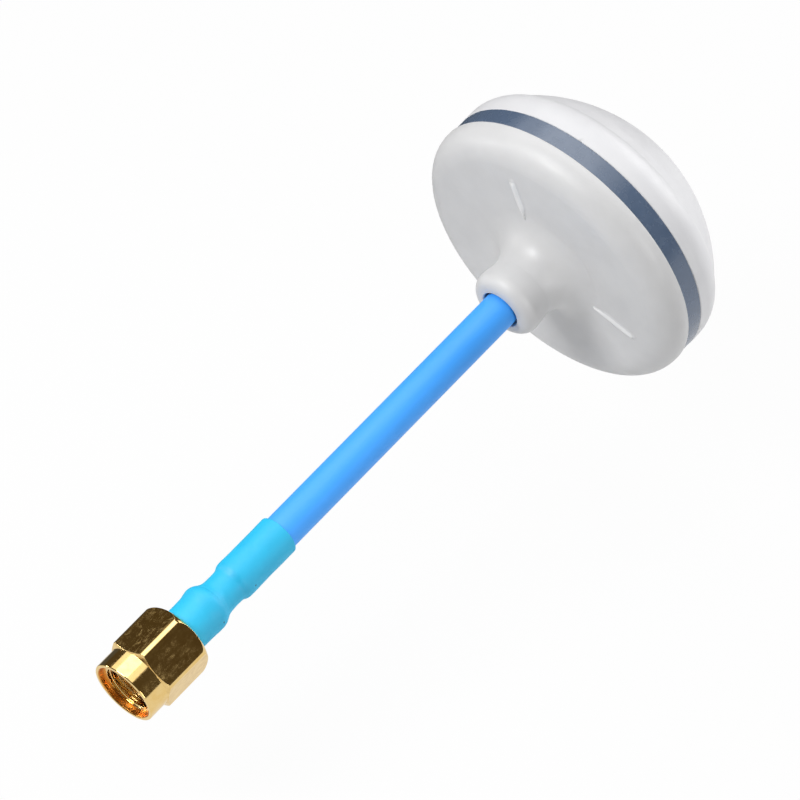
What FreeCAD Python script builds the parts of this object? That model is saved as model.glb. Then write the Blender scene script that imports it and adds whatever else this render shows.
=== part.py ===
import FreeCAD, Part
import math
import os

# A cloverleaf antenna for circular polarisation: a moulded mushroom head on a stem of
# semi-rigid coaxial cable, with a gold plated coupling plug at the foot. Millimetres, +Z up.
# Z = 0 is the plug's mating plane, and the plug points down.

# Plug body and what it holds
nose_radius = 2.30
nose_length = 2.20
flange_radius = 2.75
flange_length = 1.40
ring_groove_radius = 2.40
ring_groove_width = 0.60
shoulder_length = 1.30
ferrule_radius = 2.38
ferrule_length = 4.30
insulator_radius = 2.05
insulator_length = 4.20
cable_step_length = 0.80
contact_radius = 0.64
contact_tail = 0.60
socket_radius = 0.47
socket_depth = 2.50
socket_slit_width = 0.14
socket_slit_depth = 1.90
socket_slit_count = 4
solder_cup_depth = 1.40
body_edge = 0.12

# Coupling nut
thread_minor_radius = 2.82
thread_length = 2.50
thread_runout = 0.20
mouth_recess_radius = 3.45
mouth_recess_depth = 0.70
mouth_edge = 0.14
nut_across_flats = 8.00
hex_corner_radius = 4.50
collar_radius = 3.92
collar_length = 2.60
hex_front_slope_angle = 30.0
crown_length = 1.12
crown_bulge_height = 0.20
crown_rim = 0.16
nut_relief_radius = 3.22
nut_running_gap = 0.10
nut_ring_engagement = 0.45
nut_rear_cover = 0.30
hex_turn_angle = 13.0

# Retaining ring and gasket
ring_thickness = 0.46
ring_gap_angle = 50.0
ring_fit = 0.03
ring_tip_gap = 0.10
gasket_thickness = 0.80
gasket_width = 0.66
gasket_edge = 0.15

# Semi-rigid coaxial cable
conductor_radius = 0.46
dielectric_radius = 1.49
shield_radius = 1.79
jacket_radius = 2.07
solder_film = 0.03
bare_shield_length = 4.20
ferrule_fillet = 1.10
fillet_hollow = 0.38

# Heat-shrink sleeve over the joint
sleeve_wall = 0.33
sleeve_overlap = 7.60
sleeve_start_gap = 0.10
sleeve_taper = 0.55

# Moulded head
stem_height = 58.80
neck_length = 7.55
neck_mouth_flare = 0.25
neck_lip_round = 1.45
neck_flare = 4.10
neck_bore_gap = 0.26
neck_cup_gap = 0.78
neck_land = 2.00
base_wall = 1.10
rim_round = 3.08
rim_land = 0.34
rim_lip = 0.05
side_room = 5.25
ridge_length = 4.80
ridge_width = 0.36
ridge_height = 0.26
ridge_round = 0.16
ridge_turn_angle = -13.5
ridge_count = 3
tongue_wall = 0.80
tongue_height = 4.00
tongue_fit = 0.05
tongue_edge = 0.15
band_height = 2.33
band_recess = 0.15
cap_recess = 0.10
cap_wall = 1.00
skirt_height = 1.30
shoulder_round = 3.49
shoulder_sweep_angle = 54.0
dome_edge_inset = 2.05
head_room = 0.89
bead_radius = 0.22
nick_width = 0.55
nick_height = 0.22
nick_depth = 0.33
nick_turn_angles = (-112.0, -14.4)
glue_height = 1.80
glue_dip = 0.35
jacket_end_rise = 1.40

# Cloverleaf element: bent wire leaves, each tilted about its own centre line
leaf_count = 3
leaf_radius = 12.0
leaf_half_angle = 44.0
leaf_tilt_angle = 45.0
leaf_bend_radius = 1.60
wire_radius = 0.40
leaf_turn_angle = 46.5
leaf_floor_gap = 0.55
feed_arm_start = 0.72
shield_arm_gap = 0.23
dielectric_gap = 0.45
shield_gap = 0.70
feed_solder_radius = 1.20
feed_solder_foot = 0.96
feed_solder_height = 1.35
conductor_top = 1.50
shield_solder_width = 0.95
shield_solder_height = 1.30

# Stations along the plug
flange_front = nose_length
groove_front = flange_front + flange_length
groove_rear = groove_front + ring_groove_width
shoulder_rear = groove_rear + shoulder_length
ferrule_rear = shoulder_rear + ferrule_length
cable_face = insulator_length + cable_step_length
contact_rear = insulator_length + contact_tail
cable_bore_radius = shield_radius + solder_film
nut_front = -(mouth_recess_depth + thread_length + thread_runout)
thread_end = -thread_runout
nut_rear = shoulder_rear + nut_rear_cover
nut_bore_radius = flange_radius + nut_running_gap
nut_groove_radius = nut_bore_radius + nut_ring_engagement

# Stations along the stem
jacket_start = ferrule_rear + bare_shield_length
sleeve_start = shoulder_rear + sleeve_start_gap
sleeve_end = jacket_start + sleeve_overlap

# Neck, from the jacket outwards
neck_bore_radius = jacket_radius + neck_bore_gap
neck_cup_radius = jacket_radius + neck_cup_gap
neck_root_radius = neck_cup_radius + base_wall
neck_mouth_radius = neck_root_radius + neck_mouth_flare

# Stations in the head
dish_z = stem_height + neck_length
rim_z = dish_z + rim_round + rim_land
floor_z = dish_z + base_wall
leaf_half_width = leaf_radius * math.sin(math.radians(leaf_half_angle))
leaf_rise = leaf_half_width * math.sin(math.radians(leaf_tilt_angle))
leaf_corner_radius = math.hypot(leaf_radius * math.cos(math.radians(leaf_half_angle)),
                                leaf_half_width * math.cos(math.radians(leaf_tilt_angle)))
hub_z = floor_z + leaf_floor_gap + leaf_rise
rim_radius = leaf_radius + wire_radius + side_room
cap_radius = rim_radius - cap_recess
band_radius = rim_radius - band_recess
tongue_outer = cap_radius - tongue_wall - tongue_fit
tongue_inner = tongue_outer - tongue_wall
cap_edge_z = rim_z + band_height
tongue_end = rim_z + tongue_height
bead_z = (cap_edge_z + tongue_end) / 2
shoulder_z = cap_edge_z + skirt_height
jacket_end = dish_z - neck_flare + jacket_end_rise
glue_floor = stem_height + neck_land
shield_end = hub_z - shield_gap
dielectric_end = hub_z - dielectric_gap

# Dome of the cap: its edge ends the shoulder, and its apex clears the leaves' upper corners
dome_edge_radius = cap_radius - dome_edge_inset
shoulder_end_radius = cap_radius - shoulder_round * (1 - math.cos(math.radians(shoulder_sweep_angle)))
shoulder_end_z = shoulder_z + shoulder_round * math.sin(math.radians(shoulder_sweep_angle))
dome_edge_z = shoulder_end_z + ((shoulder_end_radius - dome_edge_radius)
                                * math.tan(math.radians(shoulder_sweep_angle)))
corner_top = hub_z + leaf_rise + wire_radius + head_room
corner_share = (leaf_corner_radius / dome_edge_radius) ** 2
apex_z = (corner_top - corner_share * dome_edge_z) / (1 - corner_share)

# Cutting shapes run this far past what they cut
over = 1.0
# Points closer than this are one point
same_point = 1e-6

UP = FreeCAD.Vector(0, 0, 1)
ORIGIN = FreeCAD.Vector(0, 0, 0)


def at(radius, z):
    """A point in the profile plane."""
    return FreeCAD.Vector(radius, 0, z)


def polar(centre, radius, degrees):
    """A profile point at an angle round a centre."""
    angle = math.radians(degrees)
    return (centre[0] + radius * math.cos(angle), centre[1] + radius * math.sin(angle))


def arc(centre, radius, start, end):
    """The middle and end of a round stretch of a profile, angles in degrees."""
    return (polar(centre, radius, (start + end) / 2), polar(centre, radius, end))


def turned(start, *steps):
    """Solid of revolution about Z. A step is the next corner, or an arc's middle and end."""
    edges = []
    here = start
    for step in steps + (start,):
        if isinstance(step[0], tuple):
            middle, end = step
            edges.append(Part.Arc(at(*here), at(*middle), at(*end)).toShape())
        else:
            end = step
            if (at(*end) - at(*here)).Length > same_point:
                edges.append(Part.LineSegment(at(*here), at(*end)).toShape())
        here = end
    return Part.Face(Part.Wire(edges)).revolve(ORIGIN, UP, 360)


def rod(radius, low, high):
    return Part.makeCylinder(radius, high - low, at(0, low))


def tube(inner, outer, low, high):
    return rod(outer, low, high).cut(rod(inner, low - over, high + over))


def around(shape, count, first=0.0):
    """Copies of a shape, evenly turned about Z."""
    copies = []
    for index in range(count):
        copy = shape.copy()
        copy.rotate(ORIGIN, UP, first + index * 360.0 / count)
        copies.append(copy)
    return copies


def plug_body():
    """Turned brass body: nose, flange, ring groove, shoulder and solder ferrule."""
    outside = turned(
        (0, 0), (nose_radius - body_edge, 0), (nose_radius, body_edge),
        (nose_radius, flange_front), (flange_radius, flange_front),
        (flange_radius, groove_front), (ring_groove_radius, groove_front),
        (ring_groove_radius, groove_rear), (flange_radius, groove_rear),
        (flange_radius, shoulder_rear - body_edge), (flange_radius - body_edge, shoulder_rear),
        (ferrule_radius, shoulder_rear), (ferrule_radius, ferrule_rear - body_edge),
        (ferrule_radius - body_edge, ferrule_rear), (0, ferrule_rear))
    seat = rod(insulator_radius, -over, insulator_length)
    step = rod(dielectric_radius, insulator_length - over, cable_face + over)
    cable_bore = rod(cable_bore_radius, cable_face, ferrule_rear + over)
    return outside.cut(seat).cut(step).cut(cable_bore)


def plug_insulator():
    return tube(contact_radius, insulator_radius, 0, insulator_length)


def socket_contact():
    """Turned contact, slit at its mouth so that it grips the mating pin."""
    barrel = rod(contact_radius, 0, contact_rear)
    socket = rod(socket_radius, -over, socket_depth)
    cup = rod(conductor_radius, contact_rear - solder_cup_depth, contact_rear + over)
    slit = Part.makeBox(2 * contact_radius, socket_slit_width, socket_slit_depth + over,
                        FreeCAD.Vector(0, -socket_slit_width / 2, -over))
    slits = around(slit, socket_slit_count, 180.0 / socket_slit_count)
    return without(barrel.cut(socket).cut(cup), slits)


def retaining_ring():
    """Open spring ring that sits in both grooves and keeps the nut on the body."""
    middle = (groove_front + groove_rear) / 2
    ring = tube(ring_groove_radius + ring_fit, nut_groove_radius - ring_tip_gap,
                middle - ring_thickness / 2, middle + ring_thickness / 2)
    reach = 2 * nut_groove_radius
    half = math.radians(ring_gap_angle / 2)
    low = middle - over
    corners = [at(0, low), FreeCAD.Vector(reach, -reach * math.tan(half), low),
               FreeCAD.Vector(reach, reach * math.tan(half), low), at(0, low)]
    gap = Part.Face(Part.makePolygon(corners)).extrude(2 * over * UP)
    return ring.cut(gap)


def gasket():
    inner = nose_radius + ring_fit
    outer = inner + gasket_width
    front = flange_front - gasket_thickness
    return turned((inner, front), (outer - gasket_edge, front), (outer, front + gasket_edge),
                  (outer, flange_front - gasket_edge), (outer - gasket_edge, flange_front),
                  (inner, flange_front))


def hexagon(across_flats, low, high):
    corner = across_flats / 2 / math.cos(math.radians(30))
    points = []
    for index in range(7):
        angle = math.radians(60 * index + hex_turn_angle)
        points.append(FreeCAD.Vector(corner * math.cos(angle), corner * math.sin(angle), low))
    return Part.Face(Part.makePolygon(points)).extrude((high - low) * UP)


def coupling_nut():
    """Hexagon nut with a round collar, a chamfered front and a crowned rear."""
    hex_front = nut_front + collar_length
    slope = math.tan(math.radians(hex_front_slope_angle))
    shoulder = hex_front + (hex_corner_radius - collar_radius) * slope
    crown_start = nut_rear - crown_length
    rim_outer = nut_bore_radius + crown_rim
    crown_middle = ((hex_corner_radius + rim_outer) / 2 + crown_bulge_height,
                    (crown_start + nut_rear) / 2 + crown_bulge_height / 2)
    envelope = turned((0, hex_front), (collar_radius, hex_front), (hex_corner_radius, shoulder),
                      (hex_corner_radius, crown_start), (crown_middle, (rim_outer, nut_rear)),
                      (0, nut_rear))
    hexagon_stock = hexagon(nut_across_flats, hex_front - over, nut_rear + over)
    collar = turned((0, nut_front), (collar_radius - mouth_edge, nut_front),
                    arc((collar_radius - mouth_edge, nut_front + mouth_edge), mouth_edge, -90, 0),
                    (collar_radius, hex_front + over), (0, hex_front + over))
    blank = hexagon_stock.common(envelope).fuse(collar).removeSplitter()
    thread_start = nut_front + mouth_recess_depth
    lead = mouth_recess_radius - thread_minor_radius
    middle = (groove_front + groove_rear) / 2
    groove_half = ring_groove_width / 2 + nut_running_gap / 2
    bore = turned(
        (0, nut_front - over), (mouth_recess_radius + mouth_edge, nut_front - over),
        (mouth_recess_radius + mouth_edge, nut_front),
        (mouth_recess_radius, nut_front + mouth_edge),
        (mouth_recess_radius, thread_start - lead * slope), (thread_minor_radius, thread_start),
        (thread_minor_radius, thread_end), (nut_relief_radius, thread_end),
        (nut_relief_radius, flange_front + nut_running_gap),
        (nut_bore_radius, flange_front + nut_running_gap),
        (nut_bore_radius, middle - groove_half), (nut_groove_radius, middle - groove_half),
        (nut_groove_radius, middle + groove_half), (nut_bore_radius, middle + groove_half),
        (nut_bore_radius, nut_rear + over), (0, nut_rear + over))
    return blank.cut(bore)


def ferrule_solder():
    """Solder fillet where the cable's shield enters the ferrule."""
    outer = ferrule_radius - body_edge
    return turned((shield_radius, ferrule_rear), (outer, ferrule_rear),
                  ((shield_radius + (outer - shield_radius) * fillet_hollow,
                    ferrule_rear + ferrule_fillet * fillet_hollow),
                   (shield_radius, ferrule_rear + ferrule_fillet)))


def centre_conductor():
    return rod(conductor_radius, contact_rear - solder_cup_depth, hub_z + conductor_top)


def coax_dielectric():
    return tube(conductor_radius, dielectric_radius, cable_face, dielectric_end)


def coax_shield():
    return tube(dielectric_radius, shield_radius, cable_face, shield_end)


def coax_jacket():
    return tube(shield_radius, jacket_radius, jacket_start, jacket_end)


def heat_shrink_sleeve():
    """Shrunk tube: wide over the ferrule, drawn in over the bare shield, wide on the jacket."""
    rest = ferrule_rear + ferrule_fillet
    grip = jacket_start
    edge = sleeve_wall / 2
    inner = [(ferrule_radius, sleeve_start), (ferrule_radius, ferrule_rear),
             (shield_radius, rest), (shield_radius, grip - sleeve_taper / 2),
             (jacket_radius, grip), (jacket_radius, sleeve_end)]
    outer = [(jacket_radius + edge, sleeve_end), (jacket_radius + sleeve_wall, sleeve_end - edge),
             (jacket_radius + sleeve_wall, grip + sleeve_taper / 2),
             (shield_radius + sleeve_wall, grip - sleeve_taper),
             (shield_radius + sleeve_wall, rest + sleeve_wall / 2),
             (ferrule_radius + sleeve_wall, ferrule_rear + edge),
             (ferrule_radius + sleeve_wall, sleeve_start)]
    return turned(*(inner + outer))


def base_outline_solid():
    """Outside of the lower shell, closed to the axis."""
    crease = rim_radius - rim_round
    lip_centre = (neck_mouth_radius - neck_lip_round, stem_height + neck_lip_round)
    flare_centre = (neck_root_radius + neck_flare, dish_z - neck_flare)
    return turned(
        (0, stem_height), (neck_mouth_radius - neck_lip_round, stem_height),
        arc(lip_centre, neck_lip_round, -90, 0), (neck_root_radius, dish_z - neck_flare),
        arc(flare_centre, neck_flare, 180, 90), (crease, dish_z),
        arc((crease, dish_z + rim_round), rim_round, -90, 0),
        (rim_radius, rim_z + rim_lip), (0, rim_z + rim_lip))


def base_cavity():
    """Inside of the lower shell, with the neck cored to an even wall."""
    crease = rim_radius - rim_round
    inner_round = tongue_inner - crease
    flare_centre = (neck_root_radius + neck_flare, dish_z - neck_flare)
    flare_radius = neck_flare + base_wall
    return turned(
        (0, glue_floor), (neck_cup_radius, glue_floor), (neck_cup_radius, dish_z - neck_flare),
        arc(flare_centre, flare_radius, 180, 90), (crease, floor_z),
        arc((crease, floor_z + inner_round), inner_round, -90, 0),
        (tongue_inner, rim_z + over), (0, rim_z + over))


def base_tongue():
    """Standing ring that carries the band and the cap's skirt, with a snap bead."""
    low = rim_z - base_wall
    return turned((tongue_inner, low), (tongue_outer, low), (tongue_outer, bead_z - bead_radius),
                  ((tongue_outer + bead_radius / 2, bead_z), (tongue_outer, bead_z + bead_radius)),
                  (tongue_outer, tongue_end - tongue_edge),
                  (tongue_outer - tongue_edge, tongue_end), (tongue_inner, tongue_end))


def underside_ridges():
    """Short raised lines that radiate from the neck."""
    start = neck_root_radius + neck_flare - ridge_width
    bar = Part.makeBox(ridge_length, ridge_width, 2 * ridge_height,
                       FreeCAD.Vector(start, -ridge_width / 2, dish_z - ridge_height))
    bar = bar.makeFillet(ridge_round, [edge for edge in bar.Edges if lies_on_underside(edge)])
    return around(bar, ridge_count, ridge_turn_angle)


def lies_on_underside(edge):
    return all(abs(vertex.Z - (dish_z - ridge_height)) < same_point for vertex in edge.Vertexes)


def base_shell():
    shell = base_outline_solid().cut(base_cavity()).fuse(base_tongue())
    shell = shell.fuse(underside_ridges())
    bore = rod(neck_bore_radius, stem_height - over, glue_floor + over)
    return shell.cut(bore).removeSplitter()


def accent_band():
    edge = band_recess / 2
    low = rim_z + rim_lip
    return turned((tongue_outer, low), (band_radius - edge, low), (band_radius, low + edge),
                  (band_radius, cap_edge_z - edge), (band_radius - edge, cap_edge_z),
                  (tongue_outer, cap_edge_z))


def dome_profile(inset):
    """Dome arc's middle and end for a wall offset, from the shoulder to the apex."""
    rise = apex_z - dome_edge_z
    sphere = (dome_edge_radius ** 2 + rise ** 2) / (2 * rise)
    centre = (0, apex_z - sphere)
    start = math.degrees(math.acos(dome_edge_radius / sphere))
    return polar(centre, sphere - inset, start), arc(centre, sphere - inset, start, 90)


def cap_solid(inset, low):
    """Outside or inside of the cap, closed to the axis, at a wall offset."""
    centre = (cap_radius - shoulder_round, shoulder_z)
    edge_start, dome = dome_profile(inset)
    shoulder = arc(centre, shoulder_round - inset, 0, shoulder_sweep_angle)
    return turned((0, low), (cap_radius - inset, low), (cap_radius - inset, shoulder_z),
                  shoulder, edge_start, dome)


def dome_cap():
    """Upper shell with a brim, a softly creased dome and a snap groove in its skirt."""
    shell = cap_solid(0, cap_edge_z).cut(cap_solid(cap_wall, cap_edge_z - over))
    skirt_inner = tongue_outer + tongue_fit
    high = tongue_end + tongue_fit
    groove = bead_radius + tongue_fit
    pocket = turned((0, cap_edge_z - over), (skirt_inner, cap_edge_z - over),
                    (skirt_inner, bead_z - groove),
                    ((skirt_inner + groove / 2, bead_z), (skirt_inner, bead_z + groove)),
                    (skirt_inner, high), (0, high))
    shell = shell.cut(pocket)
    for turn in nick_turn_angles:
        nick = Part.makeBox(cap_wall, nick_width, nick_height + over,
                            FreeCAD.Vector(cap_radius - nick_depth, -nick_width / 2,
                                           cap_edge_z - over))
        nick.rotate(ORIGIN, UP, turn)
        shell = shell.cut(nick)
    return shell


def neck_adhesive():
    """Potting that bonds the stem in the neck's cup, with a sagging top."""
    outer = neck_cup_radius
    high = glue_floor + glue_height
    middle = ((jacket_radius + outer) / 2, high - glue_dip)
    return turned((jacket_radius, glue_floor), (outer, glue_floor), (outer, high),
                  (middle, (jacket_radius, high)))


def leaf():
    """One bent wire leaf in its own plane, then tilted about its centre line."""
    half = math.radians(leaf_half_angle)
    bend_centre_distance = leaf_radius - leaf_bend_radius
    bend_offset = math.asin(leaf_bend_radius / bend_centre_distance)
    arm_end = bend_centre_distance * math.cos(bend_offset)
    rise = math.sin(half) * math.sin(math.radians(leaf_tilt_angle))
    flat = math.sqrt(1 - rise ** 2)
    feed_start = feed_arm_start / flat
    shield_start = (shield_radius + shield_arm_gap) / flat

    def spot(distance, angle):
        return FreeCAD.Vector(distance * math.cos(angle), distance * math.sin(angle), 0)

    def bend(side):
        centre = spot(bend_centre_distance, side * (half - bend_offset))
        first = spot(arm_end, side * half)
        last = spot(leaf_radius, side * (half - bend_offset))
        middle = ((first - centre) + (last - centre)).normalize() * leaf_bend_radius + centre
        return first, middle, last

    up_first, up_middle, up_last = bend(1)
    low_first, low_middle, low_last = bend(-1)
    path = Part.Wire([
        Part.LineSegment(spot(feed_start, half), up_first).toShape(),
        Part.Arc(up_first, up_middle, up_last).toShape(),
        Part.Arc(up_last, spot(leaf_radius, 0), low_last).toShape(),
        Part.Arc(low_last, low_middle, low_first).toShape(),
        Part.LineSegment(low_first, spot(shield_start, -half)).toShape()])
    start = spot(feed_start, half)
    section = Part.Wire(Part.makeCircle(wire_radius, start, spot(1, half)))
    wire = path.makePipeShell([section], True, True)
    wire.rotate(ORIGIN, FreeCAD.Vector(1, 0, 0), leaf_tilt_angle)
    wire.translate(at(0, hub_z))
    return wire


def feed_solder(leaves):
    """Solder drop that joins the upper arms to the centre conductor."""
    low = hub_z - dielectric_gap / 2
    drop = turned((conductor_radius, low), (feed_solder_foot, low),
                  ((feed_solder_radius, low + feed_solder_height / 2),
                   (conductor_radius, low + feed_solder_height)))
    return without(drop, leaves)


def shield_solder(leaves):
    """Solder collar that joins the lower arms to the cable's shield."""
    high = shield_end - ring_fit
    low = high - shield_solder_height
    outer = shield_radius + shield_solder_width
    collar = turned((shield_radius, low), ((outer, (low + high) / 2), (shield_radius, high)))
    return without(collar, leaves)


def without(shape, others):
    for other in others:
        shape = shape.cut(other)
    return shape


def nodes():
    leaves = around(leaf(), leaf_count, leaf_turn_angle)
    parts = {
        "plug_body": plug_body(),
        "plug_insulator": plug_insulator(),
        "socket_contact": socket_contact(),
        "retaining_ring": retaining_ring(),
        "gasket": gasket(),
        "coupling_nut": coupling_nut(),
        "ferrule_solder": ferrule_solder(),
        "centre_conductor": centre_conductor(),
        "coax_dielectric": coax_dielectric(),
        "coax_shield": coax_shield(),
        "coax_jacket": coax_jacket(),
        "heat_shrink_sleeve": heat_shrink_sleeve(),
        "base_shell": base_shell(),
        "accent_band": accent_band(),
        "dome_cap": dome_cap(),
        "neck_adhesive": neck_adhesive(),
        "feed_solder": feed_solder(leaves),
        "shield_solder": shield_solder(leaves),
    }
    for number, shape in enumerate(leaves, 1):
        parts["leaf_%d" % number] = shape
    return parts


def main():
    os.makedirs("parts", exist_ok=True)
    for name, shape in nodes().items():
        shape.exportStep("parts/%s.step" % name)
        print("%-20s solids %d valid %s volume %.2f" % (name, len(shape.Solids),
                                                       shape.isValid(), shape.Volume))


main()
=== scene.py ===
import math

import bpy
import numpy as np
from mathutils import Matrix, Vector

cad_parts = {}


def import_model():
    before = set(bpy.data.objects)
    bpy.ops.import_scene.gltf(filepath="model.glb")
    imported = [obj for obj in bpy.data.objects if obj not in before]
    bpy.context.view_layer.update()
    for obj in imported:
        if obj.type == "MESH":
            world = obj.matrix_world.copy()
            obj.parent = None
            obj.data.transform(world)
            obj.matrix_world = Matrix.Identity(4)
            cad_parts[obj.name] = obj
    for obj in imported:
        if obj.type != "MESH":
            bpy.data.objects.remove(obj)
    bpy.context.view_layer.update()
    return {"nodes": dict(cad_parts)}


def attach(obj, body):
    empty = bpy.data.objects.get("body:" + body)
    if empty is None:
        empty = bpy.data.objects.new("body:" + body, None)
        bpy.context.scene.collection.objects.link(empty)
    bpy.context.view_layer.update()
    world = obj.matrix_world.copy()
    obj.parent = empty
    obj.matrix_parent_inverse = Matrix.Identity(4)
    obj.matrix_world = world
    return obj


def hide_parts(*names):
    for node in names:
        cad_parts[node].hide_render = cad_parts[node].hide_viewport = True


# A cloverleaf antenna: grey mushroom head, blue coaxial stem, cyan shrink sleeve and gold plug.
# Sizes are in millimetres and become metres when a mesh is made. +Z runs from the plug to the dome.
# Angles are in degrees. Colours are linear red, green and blue.
MM = 0.001

# Stations along the axis, as in the CAD part
NUT_FRONT = -3.40
NUT_REAR = 5.80
STEM_HEIGHT = 58.80
DISH_Z = 66.35
RIM_Z = 69.77
CAP_EDGE_Z = 72.10
SLEEVE_START = 5.60
SLEEVE_END = 21.60
JACKET_START = 14.00

# How finely round stretches are divided, in degrees unless it is a number of points
ARC_STEP = 9.0
EDGE_STEP = 15.0
FINE_STEP = 3.0
ROUND_COLUMNS = 240
CLOSEST_COLUMNS = 0.02
STRAIGHT_ROWS = 4

# Added to lengths and areas so that none is zero
NO_LENGTH = 1e-12
NO_AREA = 1e-15

# Rounding of edges that stay hidden, and the fit between the shells
HIDDEN_EDGE = 0.02
SHELL_GAP = 0.05


# Profiles


def arc(centre, radius, start, end, step=ARC_STEP):
    """Points along a round stretch of a profile, angles in degrees."""
    count = max(2, math.ceil(abs(end - start) / step))
    points = []
    for index in range(count + 1):
        angle = math.radians(start + (end - start) * index / count)
        points.append((centre[0] + radius * math.cos(angle), centre[1] + radius * math.sin(angle)))
    return points


def rounded(corners, steps=6):
    """A closed profile from corners of (radius, z, rounding)."""
    points = []
    count = len(corners)
    for index in range(count):
        here = Vector(corners[index][:2])
        before = (Vector(corners[index - 1][:2]) - here).normalized()
        after = (Vector(corners[(index + 1) % count][:2]) - here).normalized()
        rounding = corners[index][2]
        if rounding <= 0:
            points.append(tuple(here))
            continue
        half = math.acos(max(-1.0, min(1.0, before.dot(after)))) / 2
        reach = rounding / math.tan(half)
        centre = here + (before + after).normalized() * (rounding / math.sin(half))
        first = here + before * reach - centre
        last = here + after * reach - centre
        turn = first.angle_signed(last)
        for step in range(steps + 1):
            spoke = first.copy()
            spoke.rotate(Matrix.Rotation(-turn * step / steps, 2))
            points.append(tuple(centre + spoke))
    return points


def spaced(start, end, count):
    """Points on a straight stretch, both ends left out."""
    points = []
    for index in range(1, count + 1):
        share = index / (count + 1)
        radius = start[0] + (end[0] - start[0]) * share
        points.append((radius, start[1] + (end[1] - start[1]) * share))
    return points


# Meshes


def even_angles(count=ROUND_COLUMNS):
    return [360.0 * index / count for index in range(count)]


def angles_with(centres, half_width, extra, count=ROUND_COLUMNS):
    """Even angles with closer ones near the given directions, in degrees."""
    angles = set(even_angles(count))
    for centre in centres:
        for index in range(extra + 1):
            angles.add((centre - half_width + 2 * half_width * index / extra) % 360.0)
    kept = []
    for angle in sorted(angles):
        if not kept or angle - kept[-1] > CLOSEST_COLUMNS:
            kept.append(angle)
    return kept


def grid_normals(points, smooth_columns):
    """Normals of a closed grid. Along a profile long stretches keep their own direction."""
    along = np.roll(points, -1, 0) - np.roll(points, 1, 0)
    after = np.roll(points, -1, 1) - points
    before = points - np.roll(points, 1, 1)
    if smooth_columns:
        far = np.linalg.norm(after, axis=2, keepdims=True) + NO_LENGTH
        near = np.linalg.norm(before, axis=2, keepdims=True) + NO_LENGTH
        across = after * (near / far) + before * (far / near)
    else:
        across = after + before
    normals = np.cross(across, along)
    return normals / (np.linalg.norm(normals, axis=2, keepdims=True) + NO_AREA)


def grid_piece(name, points, body, material, smooth_columns=True):
    """A closed mesh from points[profile][column] in millimetres."""
    rows, columns = points.shape[:2]
    normals = grid_normals(points, smooth_columns)
    index = np.arange(rows * columns).reshape(rows, columns)
    above = np.roll(index, -1, 0)
    corners = [index, np.roll(index, -1, 1), np.roll(above, -1, 1), above]
    faces = np.stack(corners, -1).reshape(-1, 4)
    mesh = bpy.data.meshes.new(name)
    mesh.from_pydata((points.reshape(-1, 3) * MM).tolist(), [], faces.tolist())
    mesh.polygons.foreach_set("use_smooth", [True] * len(mesh.polygons))
    mesh.update()
    mesh.normals_split_custom_set_from_vertices(normals.reshape(-1, 3).tolist())
    piece = bpy.data.objects.new(name, mesh)
    bpy.context.scene.collection.objects.link(piece)
    mesh.materials.append(material)
    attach(piece, body)
    return piece


def turned_points(profiles, angles):
    """A grid from one profile, or from one profile for each angle."""
    shared = isinstance(profiles[0][0], (int, float))
    flat = np.zeros((len(profiles) if shared else len(profiles[0]), len(angles), 3))
    for column, degrees in enumerate(angles):
        profile = np.array(profiles if shared else profiles[column])
        angle = math.radians(degrees)
        flat[:, column, 0] = profile[:, 0] * math.cos(angle)
        flat[:, column, 1] = profile[:, 0] * math.sin(angle)
        flat[:, column, 2] = profile[:, 1]
    return flat


def turned(name, profile, body, material):
    """A piece turned about Z from a closed profile that runs anticlockwise in (radius, z)."""
    points = turned_points(profile, even_angles())
    return grid_piece(name, points, body, material)


def bump_shape(distance, half_width):
    """1 at the middle of a ridge or dent and 0 beyond its edge, with a soft flank."""
    share = np.clip(1.0 - distance / half_width, 0.0, 1.0)
    return share * share * (3.0 - 2.0 * share)


# Materials

# Noise rarely leaves this range
NOISE_LOW = 0.3
NOISE_HIGH = 0.7
# Share of a spot's radius that it covers in full
SPOT_CORE = 0.6


def math_node(tree, operation, *values):
    """A maths node fed by sockets or plain numbers."""
    node = tree.nodes.new("ShaderNodeMath")
    node.operation = operation
    for socket, value in zip(node.inputs, values):
        if isinstance(value, float):
            socket.default_value = value
        else:
            tree.links.new(value, socket)
    return node.outputs["Value"]


def range_node(tree, value, low, high, to_low, to_high):
    """Stretches the range from low to high over another one and holds what lies beyond."""
    node = tree.nodes.new("ShaderNodeMapRange")
    node.inputs["From Min"].default_value = low
    node.inputs["From Max"].default_value = high
    node.inputs["To Min"].default_value = to_low
    node.inputs["To Max"].default_value = to_high
    tree.links.new(value, node.inputs["Value"])
    return node.outputs["Result"]


def mix_colours(tree, share, first, second):
    """Mixes two colours, given as sockets or as red, green, blue and alpha."""
    node = tree.nodes.new("ShaderNodeMix")
    node.data_type = "RGBA"
    for name, colour in (("A", first), ("B", second)):
        if isinstance(colour, tuple):
            node.inputs[name].default_value = colour
        else:
            tree.links.new(colour, node.inputs[name])
    tree.links.new(share, node.inputs["Factor"])
    return node.outputs["Result"]


def mix_shaders(tree, share, first, second):
    node = tree.nodes.new("ShaderNodeMixShader")
    tree.links.new(share, node.inputs["Fac"])
    tree.links.new(first, node.inputs[1])
    tree.links.new(second, node.inputs[2])
    return node.outputs["Shader"]


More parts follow.
